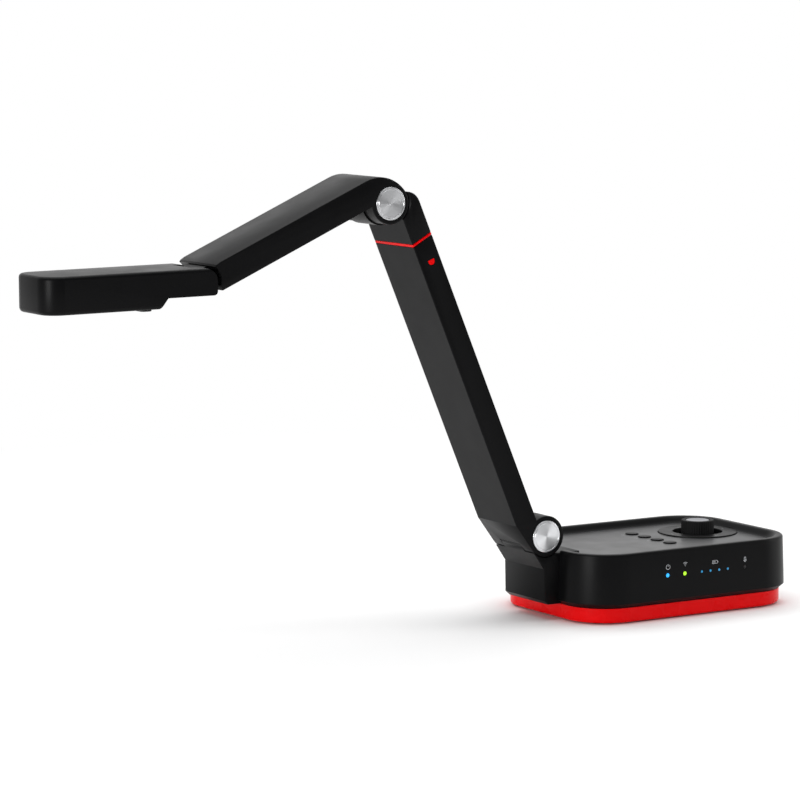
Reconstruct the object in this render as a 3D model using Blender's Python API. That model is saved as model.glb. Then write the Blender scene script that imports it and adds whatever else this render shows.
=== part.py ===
"""Portable document camera: a weighted base with its controls, a two-piece folding arm and a camera head.

Frame: +Z up, the table at Z = 0, the origin under the middle of the base. The base is long along X, its
indicator lights face -Y, and the arm stands at its -X end. All three arm hinges turn about Y.
Units are metres. Each arm piece is drawn standing on its own hinge axis, with its length along +Z and the
face that turns to the base when the arm folds towards +X, and its empty then leans it into place.
"""

import math

import bmesh
import bpy

# Clearances
GAP = 0.0003            # between pieces that touch
SWING_GAP = 0.0006      # round a hinge barrel, between it and the hollow it turns in
PRESS_TRAVEL = 0.0007   # how far a button goes down
PAST = 0.01             # how far a cutter reaches past the piece it cuts

# Base housing
BASE_LENGTH = 0.210
BASE_WIDTH = 0.147
BASE_CORNER = 0.039
RIM_HEIGHT = 0.056
SEAM_HEIGHT = 0.0130    # where the black housing meets the red lower shell
SEAM_INSET = 0.004      # how far the red shell stands back under the housing
SEAM_SLOPE = 0.0036     # height of the chamfer above the seam
SIDE_DRAFT = 0.0013     # how far the sides lean in by the top
HOUSING_WALL = 0.0027
RIM_FILLET = 0.002
RIM_FLAT = 0.003
RIM_ROLL = 0.006        # width of the slope down into the tray
TRAY_DEPTH = 0.005
PANEL_THICKNESS = 0.0008
ROOF_THICKNESS = 0.0027
SHELL_WALL = 0.0025
SHELL_UNDERSIDE = 0.0010
SHELL_EDGE = 0.0025     # rounding under the red shell
FOOT_POCKET = 0.0011    # how deep the feet and the underside plate sit in the red shell
BALLAST_THICKNESS = 0.007
FOOT_RADIUS = 0.007
FOOT_INSET_X = 0.023
FOOT_INSET_Y = 0.0235
UNDERSIDE_PLATE = 0.0010
SCREW_HEAD_RADIUS = 0.0032
SCREW_SHANK_RADIUS = 0.0015
SCREW_INSET_X = 0.033
SCREW_SPACING_Y = 0.030
BATTERY_SIZE = (0.110, 0.070, 0.014)
BATTERY_X = 0.020
BOARD_THICKNESS = 0.0016

# Controls on the tray
KNOB_FROM_END = 0.0432   # from the end of the base to the middle of the knob
KNOB_Y = 0.0119
KNOB_RADIUS = 0.0135
KNOB_RISE = 0.0105      # above the panel
OK_RADIUS = 0.0096
NAV_OUTER = 0.0324
NAV_INNER = 0.0205
NAV_RISE = 0.0010
BUTTON_COUNT = 4
BUTTONS_FROM_KNOB = 0.0518
BUTTON_PITCH = 0.0174
BUTTON_MID_Y = 0.0059
BUTTON_RADIUS = 0.0053
BUTTON_RISE = 0.0012
BUTTON_GAP = 0.0004
SEAT_THICKNESS = 0.0020

# Indicators on the front
LIGHT_DROP = 0.0202      # from the rim down to the row of lights
LIGHT_LENGTH = 0.0040
BIG_LIGHT_RADIUS = 0.0017
SMALL_LIGHT_RADIUS = 0.0010
POWER_LIGHT_X = -0.0306
WIRELESS_LIGHT_X = -0.0138
BATTERY_LIGHT_COUNT = 4
BATTERY_LIGHT_X = 0.0029
BATTERY_LIGHT_PITCH = 0.0086
MICROPHONE_X = 0.0457
MICROPHONE_RADIUS = 0.0013

# Sockets on the back
PORT_WIDTH = 0.062
PORT_HEIGHT = 0.014
PORT_DROP = 0.024        # from the rim down to the middle of the ports
PORT_PLATE = 0.0015
SOCKET_DEPTH = 0.012
SOCKET_WALL = 0.0006
HDMI_SIZE = (0.0150, 0.0052)
USB_SIZE = (0.0125, 0.0051)
HDMI_X = -0.020
USB_X = 0.000
INLET_X = 0.020
INLET_RADIUS = 0.0033

# Arm
ARM_WIDTH = 0.056
ARM_EDGE = 0.0010       # rounding along the edges of the arm
KNUCKLE_SHARE = 0.5     # of the width, for the knuckle of a hinge, on the piece nearer the base
SHAFT_RADIUS = 0.004
BARREL_RADIUS = 0.0164  # base hinge
CAP_RADIUS = 0.0127     # turned cover over a hinge end
CAP_THICKNESS = 0.0022
CAP_RISE = 0.0003
WASHER_RADIUS = 0.0095
WASHER_THICKNESS = 0.0009
HINGE_BEYOND = 0.0112   # from the end of the base out to the base hinge
HINGE_ABOVE = 0.0120    # from the rim up to the base hinge
PEDESTAL_FACE = 0.0133  # how far its outer face stands off the end of the base
PEDESTAL_FOOT = 0.0128
PEDESTAL_BEND_DROP = 0.014   # from the rim down to where the outer face begins to lean out
PEDESTAL_DEPTH = 0.034
PEDESTAL_TOP_DROP = 0.002

LOWER_LEAN = -23.2      # degrees from upright
LOWER_OUTER = 0.0218    # from the base hinge axis out to the outer face
LOWER_DEPTH = 0.0189
LOWER_REACH = 0.302     # along the arm, from the base hinge to the elbow
LOWER_START = 0.0205    # where the outer face begins, above the hinge
ELBOW_OUTSET = 0.0054   # the elbow axis stands this far outside the outer face
ARM_WALL = 0.002
COVER_THICKNESS = 0.0018
COVER_MARGIN = 0.0030    # from the side of the arm to the edge of its cover
COVER_LEDGE = 0.0015     # what the cover rests on
BAND_DROP = 0.0397      # from the elbow down to the red band
BAND_HEIGHT = 0.0020
BAND_SLANT = 0.0022     # the band climbs this much from the outer to the inner face
SPINE_WIDTH = 0.026
SPINE_THICKNESS = 0.003
SPINE_RISE = 0.016       # above the red band, into the elbow piece
HORN_RADIUS = 0.012
HORN_DROP = 0.009
MARKER_RADIUS = 0.0028
MARKER_DROP = 0.0162
MARKER_INSET = 0.0058
MARKER_DEPTH = 0.0010

UPPER_LEAN = -113.7
UPPER_BOTTOM = 0.0044   # from the elbow axis up to the underside
UPPER_DEPTH = 0.0206
UPPER_REACH = 0.1672
ELBOW_RADIUS = 0.0160    # of the upper arm's ears
ELBOW_KNUCKLE = 0.0172   # of the lower arm's knuckle between them
ELBOW_SWEEP = 0.0295    # radius of the back that runs from the top face into the elbow barrel
ELBOW_LIP = 0.0015
ELBOW_HOOD_END = 0.004   # where the back stops over the knuckle, below the elbow axis
UPPER_END_RISE = 0.0020
UPPER_END_RUN = 0.0060

# Camera head
HEAD_LEAN = -90.4
HEAD_AXIS_DROP = 0.0084  # from the top face of the upper arm down to the head hinge
HEAD_RADIUS = 0.0101      # half the thickness of the head's neck, and the rounding of its ears
HEAD_KNUCKLE = 0.0083
HEAD_EAR_CORNER = 0.003   # the lower corner of an ear
HEAD_TONGUE = 0.0125      # thickness of the tongue that carries the knuckle
TONGUE_ROOT = 0.004       # how far the tongue runs into the arm
HEAD_SADDLE_END = 0.005   # where the head's middle begins, past the hinge axis
HEAD_SHAFT_RADIUS = 0.0025
HEAD_SHAFT_BITE = 0.009
HEAD_LENGTH = 0.130
HEAD_NECK = 0.0312       # from the hinge to the step underneath
HEAD_STEP = 0.0079
HEAD_STEP_RUN = 0.0063
HEAD_CORNER = 0.015
HEAD_TOP_EDGE = 0.0028
HEAD_FLOOR_EDGE = 0.0032
HEAD_WALL = 0.002
LENS_FROM_TIP = 0.028
LENS_RADIUS = 0.0105
LENS_GLASS_RADIUS = 0.0075
LENS_HEIGHT = 0.0120
LENS_DOME = 0.0012        # how far the front glass bulges
LAMP_FROM_TIP = 0.055
LAMP_RADIUS = 0.0042
PAD_FROM_STEP = 0.0
PAD_LENGTH = 0.009
PAD_SIDE = 0.005          # from the side of the head to the pad
PAD_RISE = 0.0014
CAMERA_BOARD_SIDE = 0.008
CAMERA_BOARD_END = 0.017
CAMERA_BOARD_CORNER = 0.006

# Places worked out from the driving sizes
TRAY_HEIGHT = RIM_HEIGHT - TRAY_DEPTH
LIGHT_HEIGHT = RIM_HEIGHT - LIGHT_DROP
PORT_Z = RIM_HEIGHT - PORT_DROP
KNOB_X = BASE_LENGTH / 2 - KNOB_FROM_END
BUTTON_X = KNOB_X - BUTTONS_FROM_KNOB
SCREW_X = BASE_LENGTH / 2 - SCREW_INSET_X
HINGE_X = -BASE_LENGTH / 2 - HINGE_BEYOND
HINGE_Z = RIM_HEIGHT + HINGE_ABOVE
PEDESTAL_BEND = RIM_HEIGHT - PEDESTAL_BEND_DROP
PEDESTAL_TOP = RIM_HEIGHT - PEDESTAL_TOP_DROP
TRAY_INSET = SIDE_DRAFT + RIM_FILLET + RIM_FLAT + RIM_ROLL
PANEL_SEAT = TRAY_HEIGHT - PANEL_THICKNESS - GAP
ROOF_UNDERSIDE = PANEL_SEAT - ROOF_THICKNESS
BALLAST_BOTTOM = SHELL_UNDERSIDE + SHELL_WALL + GAP
BALLAST_TOP = BALLAST_BOTTOM + BALLAST_THICKNESS
BALLAST_INSET = SEAM_INSET + SHELL_WALL + GAP
PEDESTAL_LEFT = -BASE_LENGTH / 2 - PEDESTAL_FACE
HALF_ARM = ARM_WIDTH / 2
HALF_KNUCKLE = HALF_ARM * KNUCKLE_SHARE
EAR_INNER = HALF_KNUCKLE + GAP
LOWER_INNER_X = LOWER_DEPTH - LOWER_OUTER
ELBOW_X = -LOWER_OUTER - ELBOW_OUTSET
UPPER_TOP_X = UPPER_BOTTOM + UPPER_DEPTH
HEAD_AXIS_X = UPPER_TOP_X - HEAD_AXIS_DROP
HEAD_FLOOR_X = -HEAD_RADIUS - HEAD_STEP
NAV_SEAT_TOP = ROOF_UNDERSIDE - GAP
CONTROL_BOARD_TOP = NAV_SEAT_TOP - GAP - SEAT_THICKNESS
ROUND_STEPS = 40
SMALL_STEPS = 16
CORNER_STEPS = 10        # of the base's corners, in each quarter turn


# --- drawing tools -----------------------------------------------------------------------------------

def arc(center, radius, start, end, steps):
    """Points along an arc, with its angles in degrees and both ends included."""
    points = []
    for step in range(steps + 1):
        angle = math.radians(start + (end - start) * step / steps)
        points.append((center[0] + radius * math.cos(angle), center[1] + radius * math.sin(angle)))
    return points


def disc(center, radius, steps=ROUND_STEPS):
    """A whole circle as an outline."""
    return arc(center, radius, 0, 360 - 360 / steps, steps - 1)


def rounded_plan(length, width, corner, steps=6, middle=(0, 0)):
    """A rectangle with round corners, in the XY plane."""
    across = length / 2 - corner
    along = width / 2 - corner
    points = []
    for quarter, (side_x, side_y) in enumerate(((1, 1), (-1, 1), (-1, -1), (1, -1))):
        center = (middle[0] + side_x * across, middle[1] + side_y * along)
        points += arc(center, corner, 90 * quarter, 90 * quarter + 90, steps)
    return points


def base_plan(inset):
    """The base's outline, moved in by inset."""
    return rounded_plan(BASE_LENGTH - 2 * inset, BASE_WIDTH - 2 * inset, BASE_CORNER - inset, CORNER_STEPS)


def face_out(mesh):
    """Turn all faces outwards."""
    bmesh.ops.recalc_face_normals(mesh, faces=mesh.faces)
    if mesh.calc_volume(signed=True) < 0:
        bmesh.ops.reverse_faces(mesh, faces=mesh.faces)
    return mesh


def loft(levels):
    """Solid through outlines with the same number of points, each at its own height."""
    mesh = bmesh.new()
    rings = []
    for outline, height in levels:
        rings.append([mesh.verts.new((x, y, height)) for x, y in outline])
    for lower, upper in zip(rings, rings[1:]):
        for index in range(len(lower)):
            following = (index + 1) % len(lower)
            mesh.faces.new((lower[index], lower[following], upper[following], upper[index]))
    mesh.faces.new(reversed(rings[0]))
    mesh.faces.new(rings[-1])
    return face_out(mesh)


def slab(outline, bottom, top):
    """An XY outline raised from one height to another."""
    return loft([(outline, bottom), (outline, top)])


def box(low, high):
    """A plain block between two corners."""
    outline = [(low[0], low[1]), (high[0], low[1]), (high[0], high[1]), (low[0], high[1])]
    return slab(outline, low[2], high[2])


def prism(outline, low, high):
    """An XZ outline drawn out along Y."""
    mesh = loft([([(x, -z) for x, z in outline], low), ([(x, -z) for x, z in outline], high)])
    for vert in mesh.verts:
        vert.co = (vert.co.x, vert.co.z, -vert.co.y)
    return face_out(mesh)


def turned(profile, middle=(0, 0), steps=ROUND_STEPS, closed=False):
    """Round solid about an upright axis through middle, from (radius, height) points."""
    mesh = bmesh.new()
    rings = []
    for radius, height in profile:
        if radius == 0:
            rings.append([mesh.verts.new((middle[0], middle[1], height))] * steps)
        else:
            rings.append([mesh.verts.new((x, y, height)) for x, y in disc(middle, radius, steps)])
    pairs = list(zip(rings, rings[1:]))
    if closed:
        pairs.append((rings[-1], rings[0]))
    for lower, upper in pairs:
        for index in range(steps):
            following = (index + 1) % steps
            corners = [lower[index], lower[following], upper[following], upper[index]]
            mesh.faces.new(list(dict.fromkeys(corners)))
    return face_out(mesh)


def post(middle, radius, bottom, top, steps=ROUND_STEPS):
    """An upright cylinder."""
    return slab(disc(middle, radius, steps), bottom, top)


def round_edges(mesh, width, chosen, segments=2):
    """Round the edges whose two ends both pass the test."""
    edges = [edge for edge in mesh.edges if all(chosen(vert.co) for vert in edge.verts)]
    bmesh.ops.bevel(mesh, geom=edges, offset=width, segments=segments, profile=0.5, affect="EDGES",
                    material=-1)
    return mesh


def round_sides(mesh, half_width, width, segments=2):
    """Round the edges of a piece's two flat sides, at Y = -half_width and +half_width."""
    for side in (-1, 1):
        round_edges(mesh, width, lambda point: abs(point.y - side * half_width) < 1e-6, segments)
    return mesh


# --- objects -----------------------------------------------------------------------------------------

def make_material(name, colour, roughness, metallic=0.0):
    """Plain Principled material."""
    material = bpy.data.materials.new(name)
    material.use_nodes = True
    shader = material.node_tree.nodes["Principled BSDF"]
    shader.inputs["Base Color"].default_value = (*colour, 1.0)
    shader.inputs["Roughness"].default_value = roughness
    shader.inputs["Metallic"].default_value = metallic
    material.diffuse_color = (*colour, 1.0)
    return material


def make_pivot(name, location, lean, parent=None):
    """Empty on a hinge axis, turned about Y."""
    pivot = bpy.data.objects.new(name, None)
    pivot.empty_display_size = 0.02
    pivot.location = location
    pivot.rotation_euler = (0, math.radians(lean), 0)
    pivot.parent = parent
    bpy.context.collection.objects.link(pivot)
    return pivot


def carve(target, tool, operation="DIFFERENCE"):
    """Cut a tool from an object, or join it on."""
    tool_mesh = bpy.data.meshes.new("tool")
    tool.to_mesh(tool_mesh)
    tool.free()
    cutter = bpy.data.objects.new("tool", tool_mesh)
    bpy.context.collection.objects.link(cutter)
    modifier = target.modifiers.new("tool", "BOOLEAN")
    modifier.operation = operation
    modifier.solver = "EXACT"
    modifier.object = cutter
    bpy.context.view_layer.update()
    depsgraph = bpy.context.evaluated_depsgraph_get()
    mesh = bmesh.new()
    mesh.from_mesh(target.evaluated_get(depsgraph).data)
    bmesh.ops.remove_doubles(mesh, verts=mesh.verts, dist=1e-6)
    target.modifiers.clear()
    mesh.to_mesh(target.data)
    mesh.free()
    bpy.data.objects.remove(cutter)


def make(name, mesh, material, within=None, cuts=(), joins=(), holes=(), pivot=None, axis=None):
    """Named object on its pivot: a mesh kept within another, cut, added to, then bored through."""
    data = bpy.data.meshes.new(name)
    mesh.to_mesh(data)
    mesh.free()
    item = bpy.data.objects.new(name, data)
    bpy.context.collection.objects.link(item)
    if within:
        carve(item, within, "INTERSECT")
    for tool in cuts:
        carve(item, tool)
    for tool in joins:
        carve(item, tool, "UNION")
    for tool in holes:
        carve(item, tool)
    item.data.materials.clear()
    item.data.materials.append(material)
    item.data.shade_smooth()
    item.data.set_sharp_from_angle(angle=math.radians(35))
    if axis:
        for vert in item.data.vertices:
            vert.co = [value - shift for value, shift in zip(vert.co, axis)]
        item.location = axis
    item.parent = pivot
    return item


# --- base --------------------------------------------------------------------------------------------

def housing_levels():
    """The housing from its ceiling, down inside, round the lip, up outside and over the rim."""
    seam_top = SEAM_HEIGHT + SEAM_SLOPE
    inner = SEAM_INSET + HOUSING_WALL
    profile = [(SIDE_DRAFT + HOUSING_WALL, ROOF_UNDERSIDE), (HOUSING_WALL, seam_top)]
    profile += [(inner, SEAM_HEIGHT + GAP), (inner, SEAM_HEIGHT), (SEAM_INSET, SEAM_HEIGHT), (0, seam_top)]
    turn = (SIDE_DRAFT + RIM_FILLET, RIM_HEIGHT - RIM_FILLET)
    profile += arc(turn, RIM_FILLET, 180, 90, 4)
    for step in range(7):
        share = step / 6
        height = TRAY_HEIGHT + TRAY_DEPTH * (0.5 + 0.5 * math.cos(math.pi * share))
        profile.append((TRAY_INSET - RIM_ROLL * (1 - share), height))
    profile.append((TRAY_INSET, PANEL_SEAT))
    return [(base_plan(inset), height) for inset, height in profile]


def wall_face(height):
    """How far the front and back walls stand from the middle at a height."""
    seam_top = SEAM_HEIGHT + SEAM_SLOPE
    rise = RIM_HEIGHT - RIM_FILLET - seam_top
    return BASE_WIDTH / 2 - SIDE_DRAFT * (height - seam_top) / rise


def button_places():
    """The middles of the round buttons, back to front."""
    first = BUTTON_MID_Y + BUTTON_PITCH * (BUTTON_COUNT - 1) / 2
    return [(BUTTON_X, first - BUTTON_PITCH * index) for index in range(BUTTON_COUNT)]


def light_places():
    """Name, X and radius of each indicator on the front."""
    places = [("power_light", POWER_LIGHT_X, BIG_LIGHT_RADIUS)]
    places.append(("wireless_light", WIRELESS_LIGHT_X, BIG_LIGHT_RADIUS))
    for index in range(BATTERY_LIGHT_COUNT):
        x = BATTERY_LIGHT_X + BATTERY_LIGHT_PITCH * index
        places.append((f"battery_light_{index + 1}", x, SMALL_LIGHT_RADIUS))
    places.append(("microphone", MICROPHONE_X, MICROPHONE_RADIUS))
    return places


def wall_pin(x, radius, front, back):
    """A small cylinder along Y at the height of the indicators."""
    return prism(disc((x, LIGHT_HEIGHT), radius, SMALL_STEPS), front, back)


def control_openings(bottom, top):
    """Cutters for the navigation ring and the buttons."""
    tools = [post((KNOB_X, KNOB_Y), NAV_OUTER + BUTTON_GAP, bottom, top)]
    for place in button_places():
        tools.append(post(place, BUTTON_RADIUS + BUTTON_GAP, bottom, top, SMALL_STEPS + 8))
    return tools


def pedestal_notch():
    """The space in the housing's end that the pedestal stands in."""
    right = -BASE_LENGTH / 2 - PEDESTAL_FACE + PEDESTAL_DEPTH + GAP
    half = HALF_ARM + GAP
    return box((-BASE_LENGTH, -half, 0), (right, half, RIM_HEIGHT + PAST))


def make_housing():
    """Black upper housing with its tray, rim and openings."""
    tools = control_openings(ROOF_UNDERSIDE - PAST, TRAY_HEIGHT + PAST)
    tools.append(pedestal_notch())
    for _, x, radius in light_places():
        tools.append(wall_pin(x, radius + GAP, -BASE_WIDTH, -BASE_WIDTH / 2 + 0.02))
    half = PORT_WIDTH / 2 + GAP
    low = (-half, BASE_WIDTH / 2 - 0.02, PORT_Z - PORT_HEIGHT / 2 - GAP)
    tools.append(box(low, (half, BASE_WIDTH, PORT_Z + PORT_HEIGHT / 2 + GAP)))
    make("upper_housing", loft(housing_levels()), BLACK_PLASTIC, cuts=tools)


def make_panel():
    """Thin overlay on the tray floor."""
    outline = base_plan(TRAY_INSET + GAP)
    bottom = PANEL_SEAT + GAP
    tools = control_openings(bottom - PAST, TRAY_HEIGHT + PAST)
    tools.append(pedestal_notch())
    make("control_panel", slab(outline, bottom, TRAY_HEIGHT), PANEL_FILM, cuts=tools)


def screw_places():
    """Case screws under the base."""
    along = SCREW_SPACING_Y / 2
    return [(x, y) for x in (-SCREW_X, SCREW_X) for y in (-along, along)]


def make_lower_shell():
    """Red tray that closes the base from below."""
    top = SEAM_HEIGHT - GAP
    floor = SHELL_UNDERSIDE + SHELL_WALL
    inner = SEAM_INSET + SHELL_WALL
    profile = [(inner + SHELL_WALL, floor), (inner, floor + GAP), (inner, top), (SEAM_INSET, top)]
    profile += arc((SEAM_INSET + SHELL_EDGE, SHELL_UNDERSIDE + SHELL_EDGE), SHELL_EDGE, 180, 270, 5)
    levels = [(base_plan(inset), height) for inset, height in profile]
    tools = []
    for place in screw_places():
        tools.append(post(place, SCREW_HEAD_RADIUS + GAP, 0, floor + 0.001, SMALL_STEPS))
    pocket = SHELL_UNDERSIDE + FOOT_POCKET
    tools += [post(place, FOOT_RADIUS + GAP, -0.001, pocket, 28) for place in foot_places()]
    tools.append(slab(underside_outline(GAP), -0.001, pocket))
    make("red_lower_shell", loft(levels), RED_PLASTIC, cuts=tools)


def make_base_inside():
    """Ballast plate, screws, battery and boards."""
    tools = []
    for place in screw_places():
        tools.append(post(place, SCREW_SHANK_RADIUS + GAP, 0, RIM_HEIGHT, SMALL_STEPS))
    make("ballast_plate", slab(base_plan(BALLAST_INSET), BALLAST_BOTTOM, BALLAST_TOP), STEEL, cuts=tools)
    head_top = BALLAST_BOTTOM - GAP
    for index, place in enumerate(screw_places()):
        head = (SCREW_HEAD_RADIUS, SHELL_UNDERSIDE + GAP)
        profile = [(0, head[1]), head, (SCREW_HEAD_RADIUS, head_top), (SCREW_SHANK_RADIUS, head_top)]
        profile += [(SCREW_SHANK_RADIUS, BALLAST_TOP - GAP), (0, BALLAST_TOP - GAP)]
        make(f"case_screw_{index + 1}", turned(profile, place, SMALL_STEPS), STEEL)
    length, width, height = BATTERY_SIZE
    bottom = BALLAST_TOP + GAP
    outline = rounded_plan(length, width, 0.005, 3, (BATTERY_X, 0))
    make("battery_pack", slab(outline, bottom, bottom + height), BATTERY_WRAP)
    bottom += height + GAP
    outline = rounded_plan(length, width, 0.002, 2, (BATTERY_X, 0))
    make("main_board", slab(outline, bottom, bottom + BOARD_THICKNESS), BOARD)


def foot_places():
    """The middles of the rubber feet."""
    across = BASE_LENGTH / 2 - FOOT_INSET_X
    along = BASE_WIDTH / 2 - FOOT_INSET_Y
    return [(x, y) for x in (-across, across) for y in (-along, along)]


def underside_outline(clearance):
    """Outline of the plate between the feet, or of its pocket."""
    length = 2 * SCREW_X - 4 * SCREW_HEAD_RADIUS + 2 * clearance
    width = BASE_WIDTH - 2 * FOOT_INSET_Y - 2 * FOOT_RADIUS + 2 * clearance
    return rounded_plan(length, width, 0.006, 4)


def make_underside():
    """Rubber feet and the plate between them."""
    top = SHELL_UNDERSIDE + FOOT_POCKET - GAP
    for index, place in enumerate(foot_places()):
        make(f"rubber_foot_{index + 1}", post(place, FOOT_RADIUS, 0, top, 28), RUBBER)
    plate = slab(underside_outline(0), top - UNDERSIDE_PLATE, top)
    make("underside_plate", plate, BLACK_PLASTIC)


def make_indicators():
    """Light pipes and microphone in the front wall."""
    looks = {"power_light": BLUE_LIGHT, "wireless_light": GREEN_LIGHT, "microphone": RUBBER}
    front = -wall_face(LIGHT_HEIGHT)
    for name, x, radius in light_places():
        look = looks.get(name, BLUE_LIGHT)
        make(name, wall_pin(x, radius, front, front + LIGHT_LENGTH), look)


def socket(name, x, size):
    """Metal socket with a tongue, behind the port plate."""
    width, height = size
    outer = wall_face(PORT_Z) - GAP
    half = width / 2 + SOCKET_WALL
    tall = height / 2 + SOCKET_WALL
    body = box((x - half, outer - SOCKET_DEPTH, PORT_Z - tall), (x + half, outer, PORT_Z + tall))
    low = (x - width / 2, outer - SOCKET_DEPTH * 0.8, PORT_Z - height / 2)
    hole = box(low, (x + width / 2, outer + 0.001, PORT_Z + height / 2))
    low = (x - width * 0.4, outer - SOCKET_DEPTH * 0.9, PORT_Z - height * 0.17)
    tongue = box(low, (x + width * 0.4, outer - 0.001, PORT_Z + height * 0.17))
    make(name, body, STEEL, cuts=[hole], joins=[tongue])


def make_ports():
    """Plate in the back wall with its two sockets and the power inlet."""
    face = wall_face(PORT_Z)
    half = PORT_WIDTH / 2
    tall = PORT_HEIGHT / 2
    tools = []
    for x, size in ((HDMI_X, HDMI_SIZE), (USB_X, USB_SIZE)):
        wide = size[0] / 2 + SOCKET_WALL + GAP
        high = size[1] / 2 + SOCKET_WALL + GAP
        tools.append(box((x - wide, 0, PORT_Z - high), (x + wide, BASE_WIDTH, PORT_Z + high)))
    inlet = disc((INLET_X, PORT_Z), INLET_RADIUS + SOCKET_WALL + GAP, SMALL_STEPS)
    tools.append(prism(inlet, 0, BASE_WIDTH))
    plate = box((-half, face - PORT_PLATE - GAP, PORT_Z - tall), (half, face - GAP, PORT_Z + tall))
    make("port_plate", plate, BLACK_PLASTIC, cuts=tools)
    socket("hdmi_socket", HDMI_X, HDMI_SIZE)
    socket("usb_socket", USB_X, USB_SIZE)
    outer = face - GAP
    back = outer - SOCKET_DEPTH
    barrel = prism(disc((INLET_X, PORT_Z), INLET_RADIUS + SOCKET_WALL, SMALL_STEPS), back, outer)
    well = prism(disc((INLET_X, PORT_Z), INLET_RADIUS, SMALL_STEPS), back + 0.002, outer + 0.001)
    pin = prism(disc((INLET_X, PORT_Z), 0.001, 12), back + 0.001, outer - 0.001)
    make("power_inlet", barrel, BLACK_PLASTIC, cuts=[well], joins=[pin])


def make_controls():
    """Knob with its centre key, navigation ring, round buttons and the board under them."""
    middle = (KNOB_X, KNOB_Y)
    seat_bottom = NAV_SEAT_TOP - SEAT_THICKNESS
    ring_bottom = NAV_SEAT_TOP + PRESS_TRAVEL + GAP
    seat = [(0, seat_bottom), (NAV_OUTER + 0.003, seat_bottom), (NAV_OUTER + 0.003, NAV_SEAT_TOP)]
    seat += [(0, NAV_SEAT_TOP)]
    make("control_seat", turned(seat, middle), RUBBER)
    knob_top = TRAY_HEIGHT + KNOB_RISE
    well = knob_top - 0.007
    knob = [(0, NAV_SEAT_TOP + GAP), (KNOB_RADIUS, NAV_SEAT_TOP + GAP), (KNOB_RADIUS, knob_top - 0.0008)]
    knob += [(KNOB_RADIUS - 0.0008, knob_top), (OK_RADIUS + GAP, knob_top), (OK_RADIUS + GAP, well)]
    knob += [(0, well)]
    axis = (KNOB_X, KNOB_Y, knob_top)
    make("shuttle_knob", turned(knob, middle, 64), BLACK_RUBBERED, axis=axis)
    key = [(0, well + PRESS_TRAVEL + GAP), (OK_RADIUS, well + PRESS_TRAVEL + GAP)]
    key += [(OK_RADIUS, knob_top - 0.0002), (0, knob_top - 0.0002)]
    make("ok_key", turned(key, middle), GREY_METAL, axis=axis)
    ring_top = TRAY_HEIGHT + NAV_RISE
    ring = [(NAV_INNER, ring_bottom), (NAV_OUTER, ring_bottom), (NAV_OUTER, ring_top - 0.0005)]
    ring += [(NAV_OUTER - 0.0005, ring_top), (NAV_INNER + 0.0005, ring_top)]
    ring += [(NAV_INNER, ring_top - 0.0005)]
    make("navigation_ring", turned(ring, middle, closed=True), BLACK_PLASTIC, axis=axis)
    board_top = CONTROL_BOARD_TOP
    left = BUTTON_X - 2 * BUTTON_RADIUS
    right = KNOB_X + NAV_OUTER - 0.004
    outline = rounded_plan(right - left, 0.074, 0.002, 2, ((left + right) / 2, BUTTON_MID_Y))
    make("control_board", slab(outline, board_top - BOARD_THICKNESS, board_top), BOARD)
    bottom = board_top + PRESS_TRAVEL + GAP
    top = TRAY_HEIGHT + BUTTON_RISE
    for index, place in enumerate(button_places()):
        cap = [(0, bottom), (BUTTON_RADIUS, bottom), (BUTTON_RADIUS, top - 0.0006)]
        cap += [(BUTTON_RADIUS - 0.0006, top), (0, top)]
        axis = (place[0], place[1], top)
        make(f"round_button_{index + 1}", turned(cap, place, 28), BLACK_PLASTIC, axis=axis)


def lean_angle():
    """Direction from the hinge axis to where the pedestal's leaning face would touch the barrel."""
    drop = (PEDESTAL_LEFT - HINGE_X, PEDESTAL_BEND - HINGE_Z)
    distance = math.hypot(*drop)
    return math.degrees(math.atan2(drop[1], drop[0]) - math.acos(BARREL_RADIUS / distance))


def hinge_shaft(center, radius, reach):
    """Shaft along Y, for a hinge or for the hole round one."""
    return prism(disc(center, radius, 28), -reach, reach)


def washer_disc(center, radius, thickness):
    """Shallow disc in the near face of a knuckle, for the friction washer or its pocket."""
    return prism(disc(center, radius, 32), -HALF_KNUCKLE - GAP / 2, -HALF_KNUCKLE + thickness)


def knuckle_openings(center):
    """Washer pocket and shaft hole of a knuckle."""
    tools = [washer_disc(center, WASHER_RADIUS + GAP, WASHER_THICKNESS + GAP)]
    tools.append(hinge_shaft(center, SHAFT_RADIUS + GAP, HALF_ARM + PAST))
    return tools


def make_washer(name, center, pivot=None):
    """Friction washer in the near face of a knuckle."""
    ring = prism(disc(center, WASHER_RADIUS, 32), -HALF_KNUCKLE, -HALF_KNUCKLE + WASHER_THICKNESS)
    hole = hinge_shaft(center, SHAFT_RADIUS + GAP, HALF_ARM)
    make(name, ring, STEEL, cuts=[hole], pivot=pivot)


def ear_tools(center):
    """Shaft hole and cap recesses in a pair of ears."""
    tools = [hinge_shaft(center, SHAFT_RADIUS + GAP, HALF_ARM + PAST)]
    floor = HALF_ARM + CAP_RISE - CAP_THICKNESS - GAP
    for side in (-1, 1):
        low, high = sorted((side * floor, side * (HALF_ARM + PAST)))
        tools.append(prism(disc(center, CAP_RADIUS + GAP), low, high))
    return tools


def make_caps(name, center, pivot):
    """Turned aluminium covers over both ends of a hinge."""
    for side, word in ((-1, "near"), (1, "far")):
        outer = HALF_ARM + CAP_RISE
        low, high = sorted((side * (outer - CAP_THICKNESS), side * outer))
        cap = prism(disc(center, CAP_RADIUS), low, high)
        round_edges(cap, 0.0005, lambda point: abs(point.y - side * outer) < 1e-6, 1)
        make(f"{name}_cap_{word}", cap, ALUMINIUM, pivot=pivot)


def shaft_reach():
    """Half length of a hinge shaft, up to just under the caps."""
    return HALF_ARM + CAP_RISE - CAP_THICKNESS - 2 * GAP


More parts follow.
